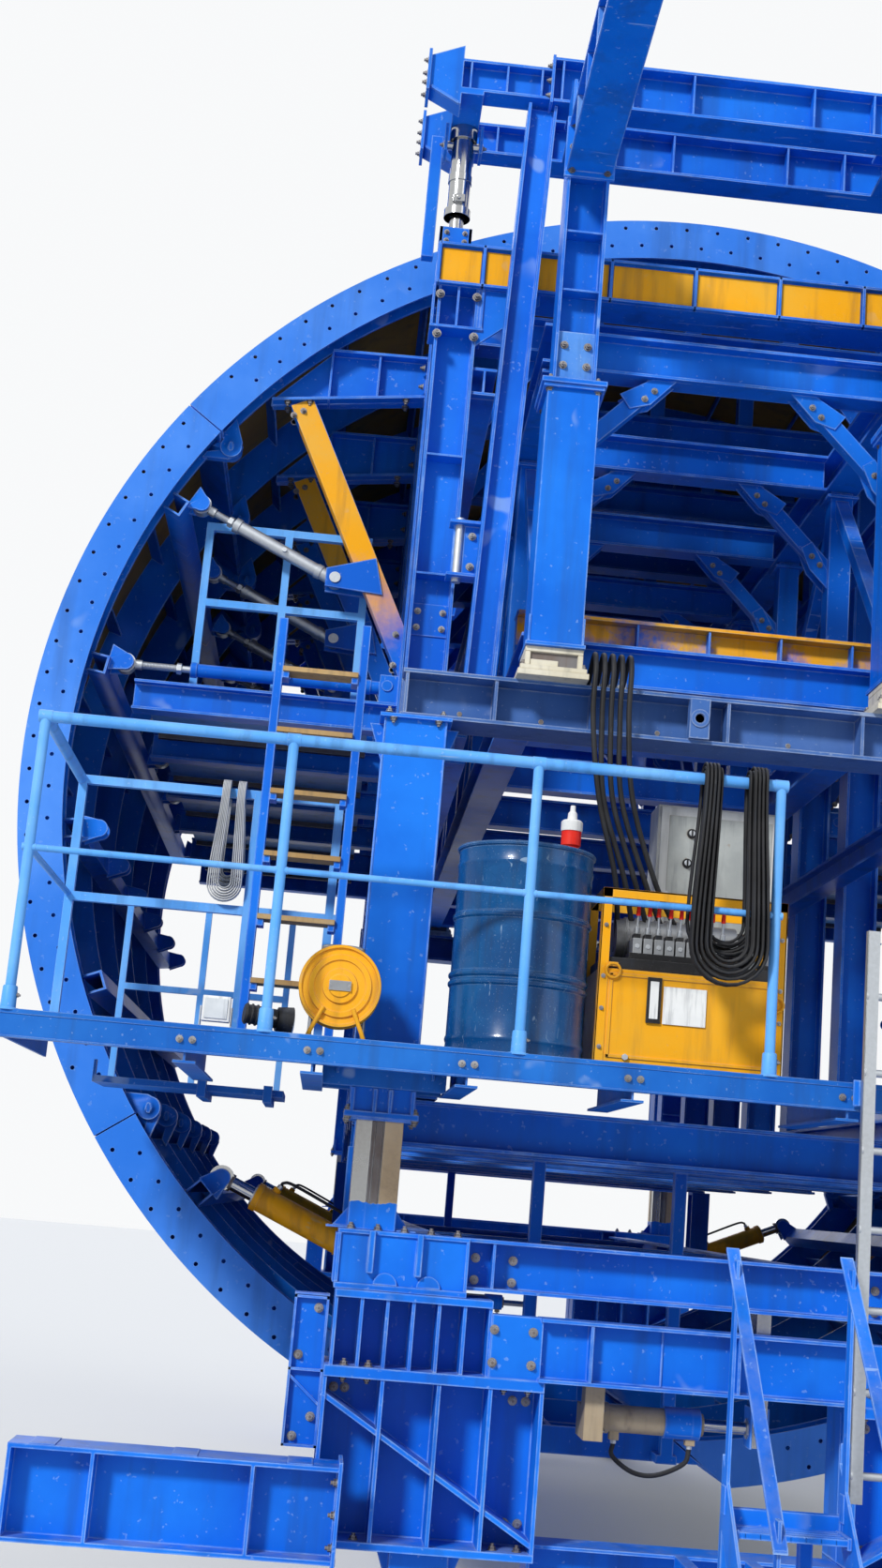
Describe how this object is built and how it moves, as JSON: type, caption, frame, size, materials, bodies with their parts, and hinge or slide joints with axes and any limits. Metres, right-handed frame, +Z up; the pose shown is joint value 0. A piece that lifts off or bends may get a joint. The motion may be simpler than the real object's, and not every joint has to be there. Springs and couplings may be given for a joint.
{
  "type": "full-round tunnel lining formwork traveller",
  "caption": "Round steel tunnel lining form with folding side and lower panels, carried by a jacked gantry with a working platform on wheels.",
  "frame": {"origin": "on the floor, midway between the ends of the overhead beams and on the shell's centre plane", "axes": "+X to the right seen from the working platform end, +Y along the tunnel away from the platform, +Z up"},
  "size_m": [6.7, 12.4, 7.55],
  "materials": {
    "blue_paint": "worn semi-gloss",
    "rail_paint": "worn satin",
    "yellow_paint": "semi-gloss",
    "cream_paint": "satin",
    "tan_paint": "satin",
    "drum_paint": "semi-gloss",
    "grey_paint": "satin",
    "ram_steel": "oiled",
    "zinc_steel": "dull zinc",
    "chrome_rod": "polished",
    "cable_rubber": "dusty",
    "wheel_steel": "worn"
  },
  "bodies": {
    "undercarriage": {"undercarriage_girders": "blue_paint", "foot_frames": "blue_paint", "leg_rams": "ram_steel", "shift_rods": "chrome_rod"},
    "front_base": {"front_towers": "blue_paint", "front_base_beams": "blue_paint", "outriggers": "blue_paint", "access_stairs": "blue_paint", "shift_barrel_front": "tan_paint"},
    "rear_base": {"rear_towers": "blue_paint", "rear_base_beams": "blue_paint", "shift_barrel_rear": "tan_paint"},
    "gantry": {"leg_columns": "blue_paint", "mid_beams": "blue_paint", "slide_blocks": "cream_paint", "portal_posts": "blue_paint", "top_beams": "blue_paint", "overhead_beams": "blue_paint", "truss_sides": "blue_paint", "truss_frames": "blue_paint", "hanger_barrels": "chrome_rod", "front_platform": "rail_paint", "platform_rails": "rail_paint", "platform_ladder": "zinc_steel", "power_pack": "yellow_paint", "control_cabinet": "grey_paint", "oil_drum": "drum_paint", "cable_reel": "yellow_paint", "cable_hanks": "cable_rubber", "hose_lines": "cable_rubber"},
    "form_frame": {"form_columns": "blue_paint", "form_ties": "blue_paint", "form_beams": "blue_paint", "form_sills": "blue_paint", "form_brackets": "blue_paint", "mid_platforms": "rail_paint", "crown_form": "blue_paint", "invert_key": "blue_paint", "lower_hangers": "blue_paint", "hanger_rods": "chrome_rod"},
    "wheel_front_left": {"wheel_front_left": "wheel_steel"},
    "wheel_front_right": {"wheel_front_right": "wheel_steel"},
    "wheel_rear_left": {"wheel_rear_left": "wheel_steel"},
    "wheel_rear_right": {"wheel_rear_right": "wheel_steel"},
    "side_left": {"side_form_left": "blue_paint"},
    "haunch_left": {"haunch_form_left": "blue_paint"},
    "upper_sleeves_left": {"upper_sleeves_left": "zinc_steel"},
    "upper_screws_left": {"upper_screws_left": "zinc_steel"},
    "mid_sleeves_left": {"mid_sleeves_left": "blue_paint"},
    "mid_screws_left": {"mid_screws_left": "zinc_steel"},
    "haunch_barrels_left": {"haunch_barrels_left": "yellow_paint"},
    "haunch_rods_left": {"haunch_rods_left": "chrome_rod"},
    "side_right": {"side_form_right": "blue_paint"},
    "haunch_right": {"haunch_form_right": "blue_paint"},
    "upper_sleeves_right": {"upper_sleeves_right": "zinc_steel"},
    "upper_screws_right": {"upper_screws_right": "zinc_steel"},
    "mid_sleeves_right": {"mid_sleeves_right": "blue_paint"},
    "mid_screws_right": {"mid_screws_right": "zinc_steel"},
    "haunch_barrels_right": {"haunch_barrels_right": "yellow_paint"},
    "haunch_rods_right": {"haunch_rods_right": "chrome_rod"}
  },
  "joints": [
    {"name": "front_base_shift", "type": "slide", "parent": "undercarriage", "child": "front_base", "axis": [1, 0, 0], "range_m": [-0.1, 0.1]},
    {"name": "wheel_front_left_roll", "type": "hinge", "parent": "front_base", "child": "wheel_front_left", "pos_m": [-1.09, -4.3, 0.2], "axis": [1, 0, 0], "continuous": true},
    {"name": "wheel_front_right_roll", "type": "hinge", "parent": "front_base", "child": "wheel_front_right", "pos_m": [1.09, -4.3, 0.2], "axis": [1, 0, 0], "continuous": true},
    {"name": "rear_base_shift", "type": "slide", "parent": "undercarriage", "child": "rear_base", "axis": [1, 0, 0], "range_m": [-0.1, 0.1]},
    {"name": "wheel_rear_left_roll", "type": "hinge", "parent": "rear_base", "child": "wheel_rear_left", "pos_m": [-1.09, 4.3, 0.2], "axis": [1, 0, 0], "continuous": true},
    {"name": "wheel_rear_right_roll", "type": "hinge", "parent": "rear_base", "child": "wheel_rear_right", "pos_m": [1.09, 4.3, 0.2], "axis": [1, 0, 0], "continuous": true},
    {"name": "gantry_lift", "type": "slide", "parent": "undercarriage", "child": "gantry", "axis": [0, 0, 1], "range_m": [-0.25, 0.15]},
    {"name": "form_hang", "type": "slide", "parent": "gantry", "child": "form_frame", "axis": [0, 0, 1], "range_m": [-0.15, 0.05]},
    {"name": "side_left_swing", "type": "hinge", "parent": "form_frame", "child": "side_left", "pos_m": [-2.47873, 0, 5.8943], "axis": [0, -1, 0], "range_deg": [0, 1.8]},
    {"name": "haunch_left_fold", "type": "hinge", "parent": "side_left", "child": "haunch_left", "pos_m": [-2.51272, 0, 2.35362], "axis": [0, -1, 0], "range_deg": [0, 7.25]},
    {"name": "upper_jack_left_tilt", "type": "hinge", "parent": "form_frame", "child": "upper_sleeves_left", "pos_m": [-1.85, 0, 5.21], "axis": [0, -1, 0], "range_deg": [-0.1, 0]},
    {"name": "upper_jack_left_stroke", "type": "slide", "parent": "upper_sleeves_left", "child": "upper_screws_left", "axis": [-0.9085, 0, 0.4178], "range_m": [-0.012, 0]},
    {"name": "mid_jack_left_tilt", "type": "hinge", "parent": "form_frame", "child": "mid_sleeves_left", "pos_m": [-1.52, 0, 4.64], "axis": [0, -1, 0], "range_deg": [0, 0.6]},
    {"name": "mid_jack_left_stroke", "type": "slide", "parent": "mid_sleeves_left", "child": "mid_screws_left", "axis": [-1, 0, 0.0001], "range_m": [-0.042, 0]},
    {"name": "haunch_cylinder_left_tilt", "type": "hinge", "parent": "form_frame", "child": "haunch_barrels_left", "pos_m": [-1.4295, 0, 1.75074], "axis": [0, -1, 0], "range_deg": [-10.75, 0]},
    {"name": "haunch_cylinder_left_stroke", "type": "slide", "parent": "haunch_barrels_left", "child": "haunch_rods_left", "axis": [-0.9197, 0, 0.3927], "range_m": [-0.113, 0]},
    {"name": "side_right_swing", "type": "hinge", "parent": "form_frame", "child": "side_right", "pos_m": [2.47873, 0, 5.8943], "axis": [0, 1, 0], "range_deg": [0, 1.8]},
    {"name": "haunch_right_fold", "type": "hinge", "parent": "side_right", "child": "haunch_right", "pos_m": [2.51272, 0, 2.35362], "axis": [0, 1, 0], "range_deg": [0, 7.25]},
    {"name": "upper_jack_right_tilt", "type": "hinge", "parent": "form_frame", "child": "upper_sleeves_right", "pos_m": [1.85, 0, 5.21], "axis": [0, 1, 0], "range_deg": [-0.1, 0]},
    {"name": "upper_jack_right_stroke", "type": "slide", "parent": "upper_sleeves_right", "child": "upper_screws_right", "axis": [0.9085, 0, 0.4178], "range_m": [-0.012, 0]},
    {"name": "mid_jack_right_tilt", "type": "hinge", "parent": "form_frame", "child": "mid_sleeves_right", "pos_m": [1.52, 0, 4.64], "axis": [0, 1, 0], "range_deg": [0, 0.6]},
    {"name": "mid_jack_right_stroke", "type": "slide", "parent": "mid_sleeves_right", "child": "mid_screws_right", "axis": [1, 0, 0.0001], "range_m": [-0.042, 0]},
    {"name": "haunch_cylinder_right_tilt", "type": "hinge", "parent": "form_frame", "child": "haunch_barrels_right", "pos_m": [1.4295, 0, 1.75074], "axis": [0, 1, 0], "range_deg": [-10.75, 0]},
    {"name": "haunch_cylinder_right_stroke", "type": "slide", "parent": "haunch_barrels_right", "child": "haunch_rods_right", "axis": [0.9197, 0, 0.3927], "range_m": [-0.113, 0]}
  ],
  "couplings": [
    {"joint": "haunch_left_fold", "follows": "side_left_swing", "ratio": 4},
    {"joint": "upper_jack_left_tilt", "follows": "side_left_swing", "ratio": -0.0437},
    {"joint": "upper_jack_left_stroke", "follows": "side_left_swing", "m_per_rad": -0.3587},
    {"joint": "mid_jack_left_tilt", "follows": "side_left_swing", "ratio": 0.3005},
    {"joint": "mid_jack_left_stroke", "follows": "side_left_swing", "m_per_rad": -1.2579},
    {"joint": "haunch_cylinder_left_tilt", "follows": "side_left_swing", "ratio": -5.9475},
    {"joint": "haunch_cylinder_left_stroke", "follows": "side_left_swing", "m_per_rad": -3.4498},
    {"joint": "haunch_right_fold", "follows": "side_right_swing", "ratio": 4},
    {"joint": "upper_jack_right_tilt", "follows": "side_right_swing", "ratio": -0.0437},
    {"joint": "upper_jack_right_stroke", "follows": "side_right_swing", "m_per_rad": -0.3587},
    {"joint": "mid_jack_right_tilt", "follows": "side_right_swing", "ratio": 0.3005},
    {"joint": "mid_jack_right_stroke", "follows": "side_right_swing", "m_per_rad": -1.2579},
    {"joint": "haunch_cylinder_right_tilt", "follows": "side_right_swing", "ratio": -5.9475},
    {"joint": "haunch_cylinder_right_stroke", "follows": "side_right_swing", "m_per_rad": -3.4498}
  ]
}
